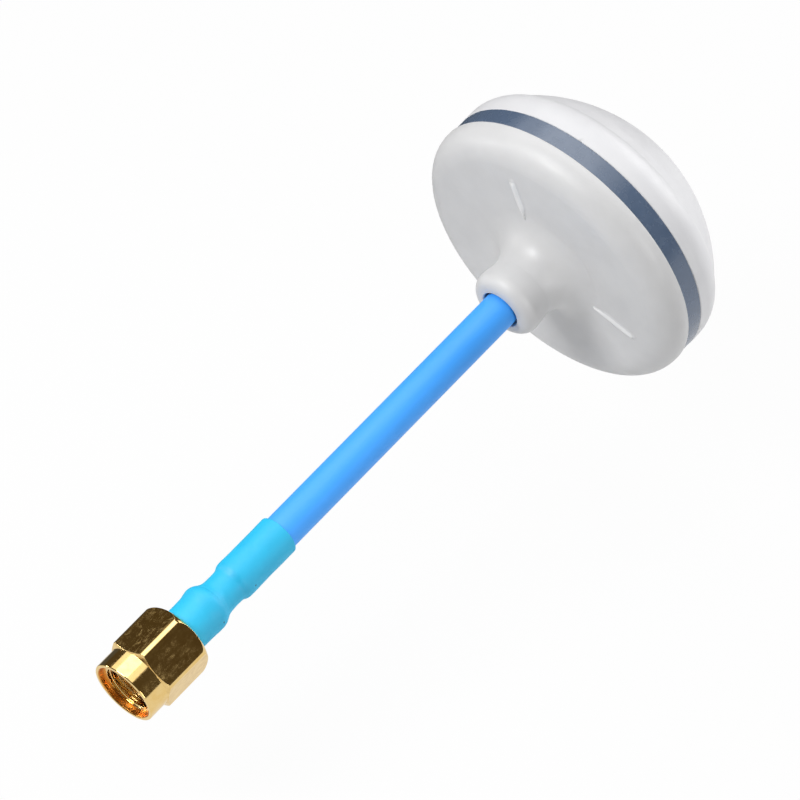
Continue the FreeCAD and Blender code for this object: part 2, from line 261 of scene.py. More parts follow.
class Finish:
    """A procedural material in the object's own millimetre coordinates."""

    def __init__(self, name, colour, roughness, metallic=0.0):
        self.material = bpy.data.materials.new(name)
        self.material.use_nodes = True
        self.tree = self.material.node_tree
        self.shader = self.tree.nodes["Principled BSDF"]
        self.shader.inputs["Base Color"].default_value = (*colour, 1.0)
        self.shader.inputs["Roughness"].default_value = roughness
        self.shader.inputs["Metallic"].default_value = metallic
        coordinates = self.tree.nodes.new("ShaderNodeTexCoord")
        scale = self.tree.nodes.new("ShaderNodeVectorMath")
        scale.operation = "SCALE"
        scale.inputs["Scale"].default_value = 1.0 / MM
        self.tree.links.new(coordinates.outputs["Object"], scale.inputs[0])
        self.place = scale.outputs[0]
        self.height = None

    def set(self, **values):
        for key, value in values.items():
            self.shader.inputs[key.replace("_", " ")].default_value = value

    def noise(self, size, detail, stretch=(1.0, 1.0, 1.0), rough=0.5):
        """Noise with features of a size in millimetres, drawn out along an axis where asked."""
        mapping = self.tree.nodes.new("ShaderNodeMapping")
        mapping.inputs["Scale"].default_value = [1.0 / (size * share) for share in stretch]
        texture = self.tree.nodes.new("ShaderNodeTexNoise")
        texture.inputs["Scale"].default_value = 1.0
        texture.inputs["Detail"].default_value = detail
        texture.inputs["Roughness"].default_value = rough
        self.tree.links.new(self.place, mapping.inputs["Vector"])
        self.tree.links.new(mapping.outputs["Vector"], texture.inputs["Vector"])
        return texture.outputs["Fac"]

    def spot(self, centre, radius):
        """1 at a place on the surface and 0 beyond a radius in millimetres."""
        node = self.tree.nodes.new("ShaderNodeVectorMath")
        node.operation = "DISTANCE"
        node.inputs[1].default_value = centre
        self.tree.links.new(self.place, node.inputs[0])
        return self.remap(node.outputs["Value"], radius * SPOT_CORE, radius, 1.0, 0.0)

    def remap(self, value, low, high, to_low=0.0, to_high=1.0):
        return range_node(self.tree, value, low, high, to_low, to_high)

    def tint(self, value, other):
        """Mixes the colour so far towards another one where value rises from 0 to 1."""
        socket = self.shader.inputs["Base Color"]
        so_far = socket.links[0].from_socket if socket.is_linked else tuple(socket.default_value)
        self.tree.links.new(mix_colours(self.tree, value, so_far, (*other, 1.0)), socket)

    def vary_roughness(self, value, low, high):
        roughness = self.remap(value, NOISE_LOW, NOISE_HIGH, low, high)
        self.tree.links.new(roughness, self.shader.inputs["Roughness"])

    def bump(self, value, depth, strength):
        """Surface relief of a depth in millimetres. A later call adds to an earlier one."""
        node = self.tree.nodes.new("ShaderNodeBump")
        node.inputs["Strength"].default_value = strength
        node.inputs["Distance"].default_value = depth * MM
        self.tree.links.new(value, node.inputs["Height"])
        if self.height:
            self.tree.links.new(self.height, node.inputs["Normal"])
        self.height = node.outputs["Normal"]
        self.tree.links.new(self.height, self.shader.inputs["Normal"])


# Main colour of each finish and the one that it is mottled with
# The lower shell is the same plastic as the upper shell; its darker grey is painted shade on the
# underside
UNDERSIDE_SHADE_GREYS = ((0.60, 0.60, 0.604), (0.575, 0.575, 0.58))
# Lighter grey for the ridges: a painted highlight where light catches them
RIDGE_HIGHLIGHT_GREYS = ((0.74, 0.74, 0.74), (0.71, 0.71, 0.71))
CAP_GREYS = ((0.655, 0.655, 0.67), (0.63, 0.63, 0.648))
BAND_SLATES = ((0.070, 0.106, 0.172), (0.080, 0.119, 0.190))
JACKET_BLUES = ((0.056, 0.365, 0.970), (0.050, 0.346, 0.940))
SLEEVE_CYANS = ((0.003, 0.450, 0.735), (0.002, 0.418, 0.700))
NUT_GOLDS = ((0.93, 0.67, 0.28), (0.88, 0.59, 0.20))
SIDE_GOLDS = ((0.93, 0.67, 0.28), (0.82, 0.56, 0.21))
# Darker, more orange gold for the mouth: the same plating, with painted shade of the recess
MOUTH_SHADE_GOLDS = ((0.74, 0.33, 0.065), (0.62, 0.25, 0.045))
PLUG_GOLDS = ((0.90, 0.62, 0.25), (0.84, 0.52, 0.16))


def shell_finish(name, colour, darker):
    """Injection moulded plastic with a fine spark-eroded grain."""
    finish = Finish(name, colour, roughness=0.42)
    clouds = finish.noise(size=3.5, detail=2.0)
    finish.tint(finish.remap(clouds, low=0.35, high=0.75), darker)
    finish.vary_roughness(finish.noise(size=1.2, detail=3.0), low=0.36, high=0.50)
    finish.bump(finish.noise(size=2.2, detail=2.0), depth=0.05, strength=0.35)
    finish.bump(finish.noise(size=0.16, detail=2.0), depth=0.012, strength=0.55)
    return finish


def band_finish():
    """Glossy plastic, a little uneven."""
    colour, lighter = BAND_SLATES
    finish = Finish("band_slate", colour, roughness=0.25)
    finish.set(Specular_IOR_Level=1.0)
    clouds = finish.noise(size=1.6, detail=4.0)
    finish.tint(finish.remap(clouds, low=0.45, high=0.80), lighter)
    finish.vary_roughness(finish.noise(size=0.9, detail=3.0), low=0.20, high=0.30)
    grain = finish.noise(size=0.20, detail=2.0, stretch=(1.0, 1.0, 0.5))
    finish.bump(grain, depth=0.010, strength=0.6)
    return finish


def jacket_finish():
    """Extruded fluoropolymer: smooth and even, with faint lines along the cable."""
    colour, deeper = JACKET_BLUES
    finish = Finish("jacket_blue", colour, roughness=0.34)
    finish.set(Specular_IOR_Level=0.45)
    clouds = finish.noise(size=5.0, detail=2.0, stretch=(0.5, 0.5, 3.0))
    finish.tint(finish.remap(clouds, low=0.35, high=0.75), deeper)
    streaks = finish.noise(size=0.8, detail=2.0, stretch=(0.5, 0.5, 8.0))
    finish.vary_roughness(streaks, low=0.38, high=0.48)
    lines = finish.noise(size=0.35, detail=2.0, stretch=(0.6, 0.6, 12.0))
    finish.bump(lines, depth=0.008, strength=0.5)
    finish.bump(finish.noise(size=2.6, detail=2.0), depth=0.030, strength=0.3)
    return finish


# Two dark specks on the sleeve
SLEEVE_SPECKS = ((2.02, -1.36, 15.1), (2.38, -1.43, 9.6))
SPECK_RADIUS = 0.14
SPECK_COLOUR = (0.005, 0.100, 0.150)


def sleeve_finish():
    """Shrunk polyolefin tube: satin, with a soft orange-peel skin."""
    colour, deeper = SLEEVE_CYANS
    finish = Finish("sleeve_cyan", colour, roughness=0.50)
    finish.set(Specular_IOR_Level=0.75)
    clouds = finish.noise(size=3.0, detail=3.0)
    finish.tint(finish.remap(clouds, low=0.35, high=0.75), deeper)
    finish.vary_roughness(finish.noise(size=0.7, detail=3.0), low=0.52, high=0.62)
    finish.bump(finish.noise(size=0.9, detail=3.0), depth=0.020, strength=0.4)
    finish.bump(finish.noise(size=0.18, detail=2.0), depth=0.006, strength=0.5)
    for speck in SLEEVE_SPECKS:
        finish.tint(finish.spot(speck, SPECK_RADIUS), SPECK_COLOUR)
    return finish


def gold_finish(name, colour, darker, roughness, mottle, tool_marks=0.002):
    """Gold over machined brass, with dents and tool marks of a depth in millimetres."""
    finish = Finish(name, colour, roughness, metallic=1.0)
    clouds = finish.noise(size=0.9, detail=4.0)
    finish.tint(finish.remap(clouds, low=0.40, high=0.80), darker)
    wear = finish.noise(size=0.35, detail=4.0)
    finish.vary_roughness(wear, low=roughness * 0.7, high=roughness * 1.6)
    finish.bump(finish.noise(size=0.45, detail=4.0), depth=mottle, strength=0.6)
    marks = finish.noise(size=0.05, detail=2.0, stretch=(6.0, 6.0, 0.8))
    finish.bump(marks, depth=tool_marks, strength=0.4)
    return finish


# Where fingers rub the hexagon most, how far around, and how much that adds to the dulling.
# Tarnish lies on all its sides.
RUBBED_PLACE = (2.0, -3.6, 1.8)
RUBBED_RADIUS = 3.4
RUBBED_SHARE = 0.11
TARNISH = (0.72, 0.48, 0.19)
TARNISH_SHARE = 0.5


def flat_gold_finish():
    """The hexagon's sides: the same gold, dulled in clouds and most where fingers rub it."""
    finish = gold_finish("nut_gold_sides", *SIDE_GOLDS, roughness=0.08, mottle=0.004)
    stains = finish.noise(size=0.70, detail=5.0, rough=0.65)
    finish.tint(finish.remap(stains, low=0.45, high=0.70, to_high=TARNISH_SHARE), TARNISH)
    clouds = finish.noise(size=0.45, detail=4.0, stretch=(1.0, 1.0, 2.0), rough=0.65)
    rubbed = finish.remap(finish.spot(RUBBED_PLACE, RUBBED_RADIUS), 0.0, 1.0, to_high=RUBBED_SHARE)
    dull = math_node(finish.tree, "ADD", clouds, rubbed)
    worn = finish.remap(dull, low=0.47, high=0.92, to_low=NOISE_LOW, to_high=NOISE_HIGH)
    finish.vary_roughness(worn, low=0.05, high=0.36)
    return finish


def plain_metal_finish(name, colour, roughness):
    finish = Finish(name, colour, roughness, metallic=1.0)
    wear = finish.noise(size=0.4, detail=3.0)
    finish.vary_roughness(wear, low=roughness * 0.8, high=roughness * 1.3)
    finish.bump(finish.noise(size=0.25, detail=3.0), depth=0.006, strength=0.5)
    return finish


def inner_plastic_finish(name, colour, roughness):
    finish = Finish(name, colour, roughness)
    wear = finish.noise(size=0.6, detail=3.0)
    finish.vary_roughness(wear, low=roughness * 0.9, high=roughness * 1.2)
    finish.bump(finish.noise(size=0.3, detail=3.0), depth=0.008, strength=0.4)
    return finish


# Head

# The ridges under the dish. Towards the axis they narrow to a share of their width.
RIDGE_ANGLES = (-13.5, 106.5, 226.5)
RIDGE_START = 7.70
RIDGE_END = 12.50
RIDGE_HALF_WIDTH = 0.72
RIDGE_TAPER = 1.60
RIDGE_POINT = 0.25
RIDGE_LEAD = 0.25
RIDGE_HEIGHT = 0.26
# Share of a ridge's height from which a face has the ridges' lighter grey, a painted highlight
RIDGE_HIGHLIGHT_FROM = 0.3
# Rows of the mesh across the ridges, from before their start to behind their end
RIDGE_ROWS = 66
ROWS_BEFORE = 0.5
ROWS_AFTER = 0.3
# The ridges lift only what lies below the dish or no more than this above it
DISH_MARGIN = 0.02

# The lower shell. Sweeps are the first and last angle of an arc.
RIM_RADIUS = 17.65
RIM_ROUND_Z = 69.43
RIM_CENTRE_RADIUS = 14.10
CREASE_RADIUS = 14.38
CREASE_ANGLE = 9.0
NECK_FLARE = 4.10
NECK_ROOT = 3.95
NECK_MOUTH = 4.20
NECK_BORE = 2.33
NECK_LIP = 1.45
LIP_EDGE = 0.18
LIP_SWEEP = (-86.0, 4.0)
FLARE_SWEEP = (178.0, 104.0)
RIM_EDGE = 0.12
BASE_WALL = 1.10
NECK_CUP = 2.85
GLUE_FLOOR = 60.80
TONGUE_OUTER = 16.70
TONGUE_INNER = 15.90
TONGUE_END = 73.77
TONGUE_EDGE = 0.15


def base_profile():
    """Lower shell from the neck's lip out to the rim, over the tongue and back inside."""
    flare = (NECK_ROOT + NECK_FLARE, DISH_Z - NECK_FLARE)
    lip = (NECK_MOUTH - NECK_LIP, STEM_HEIGHT + NECK_LIP)
    rows_end = RIDGE_END + ROWS_AFTER
    outside = arc((NECK_BORE + LIP_EDGE, STEM_HEIGHT + LIP_EDGE), LIP_EDGE, 180, 270)
    outside += arc(lip, NECK_LIP, *LIP_SWEEP)
    outside += arc(flare, NECK_FLARE, *FLARE_SWEEP, FINE_STEP)
    for radius in np.linspace(RIDGE_START - ROWS_BEFORE, rows_end, RIDGE_ROWS):
        inward = max(0.0, flare[0] - radius)
        outside.append((radius, flare[1] + math.sqrt(NECK_FLARE ** 2 - inward ** 2)))
    outside += spaced((rows_end, DISH_Z), (CREASE_RADIUS, DISH_Z), STRAIGHT_ROWS)
    span = RIM_RADIUS - RIM_CENTRE_RADIUS
    rise = RIM_ROUND_Z - DISH_Z
    for radius, z in arc((0, 0), 1.0, -90 + CREASE_ANGLE, 0, FINE_STEP):
        outside.append((RIM_CENTRE_RADIUS + span * radius, RIM_ROUND_Z + rise * z))
    rim_top = RIM_Z + SHELL_GAP
    outside += arc((RIM_RADIUS - RIM_EDGE, rim_top - RIM_EDGE), RIM_EDGE, 0, 90)
    tongue = [(TONGUE_OUTER, rim_top), (TONGUE_OUTER, TONGUE_END - TONGUE_EDGE),
              (TONGUE_OUTER - TONGUE_EDGE, TONGUE_END), (TONGUE_INNER, TONGUE_END)]
    floor_z = DISH_Z + BASE_WALL
    inner_round = TONGUE_INNER - CREASE_RADIUS
    inside = arc((CREASE_RADIUS, floor_z + inner_round), inner_round, 0, -90)
    inside += arc(flare, NECK_FLARE + BASE_WALL, 90, 180)
    inside += [(NECK_CUP, GLUE_FLOOR), (NECK_BORE, GLUE_FLOOR)]
    return outside + tongue + inside


def raise_ridges(points):
    """Lifts the three fine ridges out of the underside and tells how far each point is up them."""
    raised = np.zeros(points.shape[:2])
    for degrees in RIDGE_ANGLES:
        angle = math.radians(degrees)
        along = points[..., 0] * math.cos(angle) + points[..., 1] * math.sin(angle)
        aside = -points[..., 0] * math.sin(angle) + points[..., 1] * math.cos(angle)
        beyond = np.maximum(np.maximum(RIDGE_START - along, along - RIDGE_END), 0.0)
        taper = np.clip((along - RIDGE_START + RIDGE_LEAD) / RIDGE_TAPER, RIDGE_POINT, 1.0)
        distance = np.hypot(aside / taper, beyond)
        under = points[..., 2] < DISH_Z + DISH_MARGIN
        share = bump_shape(distance, RIDGE_HALF_WIDTH) * under
        points[..., 2] -= RIDGE_HEIGHT * share
        raised = np.maximum(raised, share)
    return raised


def base_piece(finish, ridge_highlight_finish):
    angles = angles_with(RIDGE_ANGLES, half_width=3.4, extra=40, count=210)
    points = turned_points(base_profile(), angles)
    raised = raise_ridges(points)
    piece = grid_piece("lower_shell", points, "antenna", finish.material)
    piece.data.materials.append(ridge_highlight_finish.material)
    # Faces high on a ridge take the lighter grey, a painted highlight
    lowest = np.minimum(raised, np.minimum(np.roll(raised, -1, 0), np.roll(raised, -1, 1)))
    ridge_highlight_faces = lowest > RIDGE_HIGHLIGHT_FROM
    piece.data.polygons.foreach_set("material_index", ridge_highlight_faces.astype(int).ravel().tolist())
    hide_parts("base_shell")


# Band and upper shell
BAND_RADIUS = 17.50
BAND_EDGE = 0.07
CAP_RADIUS = 17.55
CAP_WALL = 1.00
SHOULDER_ROUND = 3.49
SHOULDER_SWEEP = 54.0
SHOULDER_Z = 73.40
DOME_EDGE = 15.50
APEX_Z = 84.409
# So far up the dome's arc that no point lies on the axis
NEAR_APEX = 89.999
DOME_STEP = 1.2
SKIRT_EDGE = 0.14
SKIRT_INNER_EDGE = 0.06
# Left out of the arcs where shoulder and dome meet, so that the edge between them is soft
SHOULDER_TRIM = 2.0
DOME_TRIM = 0.8
INNER_SHOULDER_STEP = 8.0
INNER_SHOULDER_FOOT = 4.0

# Two nicks in the lower edge of the upper shell, kept to so much of its height and its skin
NICK_ANGLES = (-112.0, -14.4)
NICK_DEPTH = 0.24
NICK_REACH = 0.36
NICK_FLATTENED = 1.2
NICK_TOP = 0.6
NICK_SKIN = 0.3


def band_piece(finish):
    low = RIM_Z + SHELL_GAP
    profile = rounded([
        (TONGUE_OUTER, low, HIDDEN_EDGE), (BAND_RADIUS, low, BAND_EDGE),
        (BAND_RADIUS, CAP_EDGE_Z, BAND_EDGE), (TONGUE_OUTER, CAP_EDGE_Z, HIDDEN_EDGE)])
    piece = turned("slate_band", profile, "antenna", finish.material)
    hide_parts("accent_band")


def dome_centre():
    """Radius and centre of the sphere through the dome's edge and its apex."""
    sweep = math.radians(SHOULDER_SWEEP)
    end_radius = CAP_RADIUS - SHOULDER_ROUND * (1 - math.cos(sweep))
    end_z = SHOULDER_Z + SHOULDER_ROUND * math.sin(sweep)
    edge_z = end_z + (end_radius - DOME_EDGE) * math.tan(sweep)
    rise = APEX_Z - edge_z
    radius = (DOME_EDGE ** 2 + rise ** 2) / (2 * rise)
    return radius, APEX_Z - radius


def cap_profile():
    """Upper shell from the skirt's foot over the shoulder to the apex and back inside."""
    radius, centre_z = dome_centre()
    start = math.degrees(math.acos(DOME_EDGE / radius))
    shoulder = (CAP_RADIUS - SHOULDER_ROUND, SHOULDER_Z)
    inner = TONGUE_OUTER + SHELL_GAP
    foot_z = CAP_EDGE_Z + SKIRT_EDGE
    inner_edge = (inner + SKIRT_INNER_EDGE, CAP_EDGE_Z + SKIRT_INNER_EDGE)
    outside = arc(inner_edge, SKIRT_INNER_EDGE, 180, 270)
    outside += arc((CAP_RADIUS - SKIRT_EDGE, foot_z), SKIRT_EDGE, -90, 0, EDGE_STEP)
    outside += spaced((CAP_RADIUS, foot_z), (CAP_RADIUS, SHOULDER_Z), STRAIGHT_ROWS)
    outside += arc(shoulder, SHOULDER_ROUND, 0, SHOULDER_SWEEP - SHOULDER_TRIM, FINE_STEP)
    outside += arc((0, centre_z), radius, start + DOME_TRIM, NEAR_APEX, DOME_STEP)
    inside = arc((0, centre_z), radius - CAP_WALL, NEAR_APEX, start, FINE_STEP)
    inside += arc(shoulder, SHOULDER_ROUND - CAP_WALL, SHOULDER_SWEEP, INNER_SHOULDER_FOOT,
                  INNER_SHOULDER_STEP)
    inside_z = TONGUE_END + SHELL_GAP
    inside += [(CAP_RADIUS - CAP_WALL, inside_z), (inner, inside_z)]
    return outside + inside


def cut_nicks(points):
    """Presses the nicks into the skirt's lower edge."""
    for degrees in NICK_ANGLES:
        angle = math.radians(degrees)
        aside = -points[..., 0] * math.sin(angle) + points[..., 1] * math.cos(angle)
        ahead = points[..., 0] * math.cos(angle) + points[..., 1] * math.sin(angle)
        above = points[..., 2] - CAP_EDGE_Z
        outer = (ahead > CAP_RADIUS - NICK_SKIN) & (above < NICK_TOP)
        dent = NICK_DEPTH * bump_shape(np.hypot(aside, above * NICK_FLATTENED), NICK_REACH) * outer
        points[..., 0] -= dent * math.cos(angle)
        points[..., 1] -= dent * math.sin(angle)


def cap_piece(finish):
    angles = angles_with(NICK_ANGLES, half_width=1.4, extra=14)
    points = turned_points(cap_profile(), angles)
    cut_nicks(points)
    piece = grid_piece("upper_shell", points, "antenna", finish.material)
    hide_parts("dome_cap")


# Stem

JACKET_BORE = 1.79
JACKET_RADIUS = 2.07
JACKET_END = 63.65
JACKET_EDGE = 0.08


def jacket_piece(finish):
    profile = rounded([
        (JACKET_BORE, JACKET_START, HIDDEN_EDGE), (JACKET_RADIUS, JACKET_START, JACKET_EDGE),
        (JACKET_RADIUS, JACKET_END, JACKET_EDGE), (JACKET_BORE, JACKET_END, HIDDEN_EDGE)])
    piece = turned("stem_jacket", profile, "antenna", finish.material)
    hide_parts("coax_jacket")


# The sleeve's outside as (station, radius)
SLEEVE_OUTSIDE = (
    (5.60, 2.66), (7.40, 2.66), (8.60, 2.69), (9.15, 2.75), (9.70, 2.78), (10.20, 2.67),
    (10.70, 2.43), (11.15, 2.22), (11.60, 2.13), (12.50, 2.10), (13.40, 2.11), (13.62, 2.15),
    (13.95, 2.33), (14.22, 2.42), (14.80, 2.44), (16.00, 2.41), (18.00, 2.40), (21.60, 2.42),
)
# Its inside from the jacket's end to the plug, as (radius, station)
SLEEVE_INSIDE = (
    (2.08, SLEEVE_END), (2.08, 14.00), (1.80, 13.70), (1.80, 10.95), (2.39, 9.80),
    (2.39, SLEEVE_START),
)
# Each fold: direction in degrees, station, reach along the axis, width in degrees, depth
SLEEVE_FOLDS = (
    (-170.0, 9.70, 0.70, 60.0, 0.09),
    (-160.0, 10.50, 0.50, 50.0, 0.06),
    (10.0, 9.60, 0.50, 50.0, -0.04),
    (-95.0, 10.30, 0.50, 45.0, 0.05),
    (-60.0, 8.60, 0.80, 40.0, -0.03),
    (-120.0, 14.00, 0.50, 40.0, 0.015),
    (-20.0, 12.60, 0.70, 40.0, -0.03),
)
SLEEVE_EDGE = 0.12
SLEEVE_ROWS = 150
SLEEVE_COLUMNS = 200
# The steps are softened over this distance to either side, and the last sample keeps this weight
SOFTENED_OVER = 0.20
SOFTENING_SAMPLES = 7
LEAST_WEIGHT = 0.05
# Beyond this station the sleeve lies on the cable. Points further out than these are its skin.
PLUG_END_Z = 10.8
SKIN_OVER_PLUG = 2.45
SKIN_OVER_CABLE = 2.10
WAVE_DEPTH = 0.012
WAVES_AROUND = 3
WAVE_TWIST = 0.9
WAVE_ALONG = 0.8
WAVE_START = 1.3


def sleeve_radius(z):
    """Outer radius before it is softened."""
    stations, radii = zip(*SLEEVE_OUTSIDE)
    return np.interp(z, stations, radii)


def sleeve_profile():
    """The sleeve's section, its steps softened by an average over their neighbours."""
    stations = np.linspace(SLEEVE_START + SLEEVE_EDGE, SLEEVE_END - SLEEVE_EDGE, SLEEVE_ROWS)
    spread = np.linspace(-SOFTENED_OVER, SOFTENED_OVER, SOFTENING_SAMPLES)
    weights = np.cos(spread / SOFTENED_OVER * math.pi / 2) + LEAST_WEIGHT
    radii = sum(w * sleeve_radius(stations + s) for w, s in zip(weights, spread)) / weights.sum()
    outside = list(zip(radii, stations))
    end_radius = sleeve_radius(SLEEVE_END) - SLEEVE_EDGE
    start_radius = sleeve_radius(SLEEVE_START) - SLEEVE_EDGE
    end = arc((end_radius, SLEEVE_END - SLEEVE_EDGE), SLEEVE_EDGE, 10, 90)
    start = arc((start_radius, SLEEVE_START + SLEEVE_EDGE), SLEEVE_EDGE, -90, -10)
    return start + outside + end + list(SLEEVE_INSIDE)


def sleeve_unevenness(around, height):
    """How far each point of the skin stands out, in folds and a faint wave."""
    fold = np.zeros_like(height)
    for turn, station, reach, width, depth in SLEEVE_FOLDS:
        aside = np.angle(np.exp(1j * (around - math.radians(turn)))) / math.radians(width)
        fold += depth * np.exp(-aside ** 2 - ((height - station) / reach) ** 2)
    wave = np.sin(WAVES_AROUND * around + WAVE_TWIST * height)
    fold += WAVE_DEPTH * wave * np.sin(WAVE_ALONG * height + WAVE_START)
    return fold


def sleeve_piece(finish):
    """Shrunk tube that follows what lies under it, with soft uneven folds at its steps."""
    points = turned_points(sleeve_profile(), even_angles(SLEEVE_COLUMNS))
    around = np.arctan2(points[..., 1], points[..., 0])
    height = points[..., 2]
    radius = np.hypot(points[..., 0], points[..., 1])
    skin = radius > np.where(height > PLUG_END_Z, SKIN_OVER_CABLE, SKIN_OVER_PLUG)
    scale = 1.0 + sleeve_unevenness(around, height) * skin / radius
    points[..., 0] *= scale
    points[..., 1] *= scale
    piece = grid_piece("shrink_sleeve", points, "antenna", finish.material)
    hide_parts("heat_shrink_sleeve")


# Coupling nut

HEX_FLAT = 4.00
HEX_CORNER = 4.50
HEX_TURN = 13.0
HEX_FRONT = -0.80
HEX_EASE = 0.018
COLLAR_RADIUS = 3.92
COLLAR_EDGE = 0.14
COLLAR_ROOT = 0.03
CHAMFER_SLOPE = 30.0
CHAMFER_EDGE = 0.05
CROWN_START = 4.68
CROWN_RIM = 3.01
# Powers that set how full the crown is, for its radius and its height
CROWN_FULLNESS = (0.9, 1.15)
CROWN_ROWS = 14
CROWN_HALVINGS = 30
BORE_RADIUS = 2.85
GROOVE_RADIUS = 3.30
GROOVE_FRONT = 3.53
GROOVE_REAR = 4.22
RELIEF_RADIUS = 3.22
RELIEF_REAR = 2.30
THREAD_PITCH = 0.7056
THREAD_MINOR = 2.82
THREAD_MAJOR = 3.20
THREAD_START = -2.70
THREAD_END = -0.20
THREAD_FLANK = 30.0
THREAD_CREST = 0.25
THREAD_ROWS = 130
NUT_EDGE_STEPS = 4
# Lengths over which the thread fades out, and the share of its depth that it has at the mouth
FADE_FRONT = 0.25
FADE_REAR = 0.30
MOUTH_DEPTH = 0.35
# The mouth: a recess, its chamfer and rounding, and a flat step down to the thread
RECESS_RADIUS = 3.45
RECESS_CHAMFER_WIDTH = 0.10
RECESS_CHAMFER_DEPTH = 0.12
RECESS_EDGE = 0.05
MOUTH_SHOULDER_SLOPE = 8.0
SHOULDER_INSET = 0.12
SHOULDER_SHARE = 0.8
RECESS_CORNER = 0.04

# Inside of the nut from its rear to the thread: radius, station and rounding
NUT_INSIDE = (
    (CROWN_RIM, NUT_REAR, 0.04), (BORE_RADIUS, NUT_REAR, 0.05),
    (BORE_RADIUS, GROOVE_REAR, 0.02), (GROOVE_RADIUS, GROOVE_REAR, 0.02),
    (GROOVE_RADIUS, GROOVE_FRONT, 0.02), (BORE_RADIUS, GROOVE_FRONT, 0.02),
    (BORE_RADIUS, RELIEF_REAR, 0.03), (RELIEF_RADIUS, RELIEF_REAR, 0.03),
    (RELIEF_RADIUS, THREAD_END, 0.03),
)

# Columns of the nut: close ones to either side of a turned corner's edge, and those on the flats
CORNER_MIDDLE = (-1.0, 0.0, 1.0)
EDGE_REACH = 1.6
EDGE_COLUMNS = 9
FLAT_MARGIN = 2.4
FLAT_COLUMNS = 22

# Material slots of the nut's faces, and how far inside a stretch a face must lie to belong to it
SIDE_SLOT = 1
MOUTH_SLOT = 2
SIDE_FOOT = 0.01
SIDE_MARGIN = 0.10
MOUTH_MARGIN = 0.02


def hexagon_radius(degrees):
    """Distance to the hexagon's side, with the corners turned down and their edges eased."""
    folded = (degrees - HEX_TURN + 30.0) % 60.0 - 30.0
    side = HEX_FLAT / math.cos(math.radians(30.0 - abs(folded)))
    return -HEX_EASE * math.log(math.exp(-side / HEX_EASE) + math.exp(-HEX_CORNER / HEX_EASE))


def nut_angles():
    """Columns crowded where a flat meets a turned corner."""
    angles = []
    edge = 30.0 - math.degrees(math.acos(HEX_FLAT / HEX_CORNER))
    offsets = np.linspace(-EDGE_REACH, EDGE_REACH, EDGE_COLUMNS)
    marks = [side * edge + offset for side in (-1, 1) for offset in offsets]
    marks += CORNER_MIDDLE
    marks += list(np.linspace(edge + FLAT_MARGIN, 60.0 - edge - FLAT_MARGIN, FLAT_COLUMNS))
    for corner in range(6):
        for mark in marks:
            angles.append((corner * 60.0 + HEX_TURN + mark) % 360.0)
    return sorted(angles)


def thread_radius(z, degrees):
    """Sixty degree internal thread with flat crests, fading at both ends."""
    phase = (z / THREAD_PITCH - degrees / 360.0) % 1.0
    flank = (THREAD_MAJOR - THREAD_MINOR) * math.tan(math.radians(THREAD_FLANK)) / THREAD_PITCH
    from_crest = abs(phase - 0.5) - THREAD_CREST / 2
    depth = min(max(from_crest / flank, 0.0), 1.0)
    fade = min((z - THREAD_START) / FADE_FRONT + MOUTH_DEPTH, (THREAD_END - z) / FADE_REAR, 1.0)
    return THREAD_MINOR + (THREAD_MAJOR - THREAD_MINOR) * depth * max(fade, 0.0)


def crown_radius_at(share):
    """Radius and height on the rear crown, from the turned corner to the rear rim."""
    sweep = math.radians(90.0 * share)
    out, up = CROWN_FULLNESS
    return (CROWN_RIM + (HEX_CORNER - CROWN_RIM) * math.cos(sweep) ** out,
            CROWN_START + (NUT_REAR - CROWN_START) * math.sin(sweep) ** up)


def crown_points(radius):
    """Crown from where it leaves a side at the given radius."""
    low, high = 0.0, 1.0
    for halving in range(CROWN_HALVINGS):
        middle = (low + high) / 2
        if crown_radius_at(middle)[0] > radius:
            low = middle
        else:
            high = middle
    shares = [low + (1.0 - low) * index / CROWN_ROWS for index in range(CROWN_ROWS)]
    return [crown_radius_at(share) for share in shares]


def nut_profile(degrees):
    """The nut's section in one direction: the outside, then back through the bore."""
    side = hexagon_radius(degrees)
    slope = math.tan(math.radians(CHAMFER_SLOPE))
    shoulder = HEX_FRONT + (side - COLLAR_RADIUS) * slope
    crown = crown_points(side)
    lead = (RECESS_RADIUS - THREAD_MINOR) * math.tan(math.radians(MOUTH_SHOULDER_SLOPE))
    outer = [(RECESS_RADIUS + RECESS_CHAMFER_WIDTH, NUT_FRONT, RECESS_EDGE),
             (COLLAR_RADIUS, NUT_FRONT, COLLAR_EDGE), (COLLAR_RADIUS, HEX_FRONT, COLLAR_ROOT),
             (side, shoulder, CHAMFER_EDGE)]
    outer += [(radius, z, 0.0) for radius, z in [(side, crown[0][1])] + crown[1:]]
    heights = np.linspace(THREAD_END, THREAD_START, THREAD_ROWS)
    thread = [(thread_radius(z, degrees), z, 0.0) for z in heights]
    front = [(RECESS_RADIUS - SHOULDER_INSET, THREAD_START - lead * SHOULDER_SHARE, RECESS_EDGE),
             (RECESS_RADIUS, THREAD_START - lead, RECESS_CORNER),
             (RECESS_RADIUS, NUT_FRONT + RECESS_CHAMFER_DEPTH, RECESS_CORNER)]
    return rounded(outer + list(NUT_INSIDE) + thread + front, NUT_EDGE_STEPS)


def face_slots(points):
    """Material slot of each face: the hexagon's sides, the mouth with its painted shade, or the
    rest.
    """
    radius = np.hypot(points[..., 0], points[..., 1])
    height = points[..., 2]
    on_side = (radius > COLLAR_RADIUS + SIDE_FOOT) & (radius < HEX_CORNER - SIDE_MARGIN)
    on_side &= (height > HEX_FRONT) & (height < CROWN_START + SIDE_MARGIN)
    in_mouth = (radius < RECESS_RADIUS + MOUTH_MARGIN) & (height < THREAD_START - MOUTH_MARGIN)
    slots = on_side * SIDE_SLOT + in_mouth * MOUTH_SLOT
    return np.minimum(slots, np.roll(slots, -1, 1))


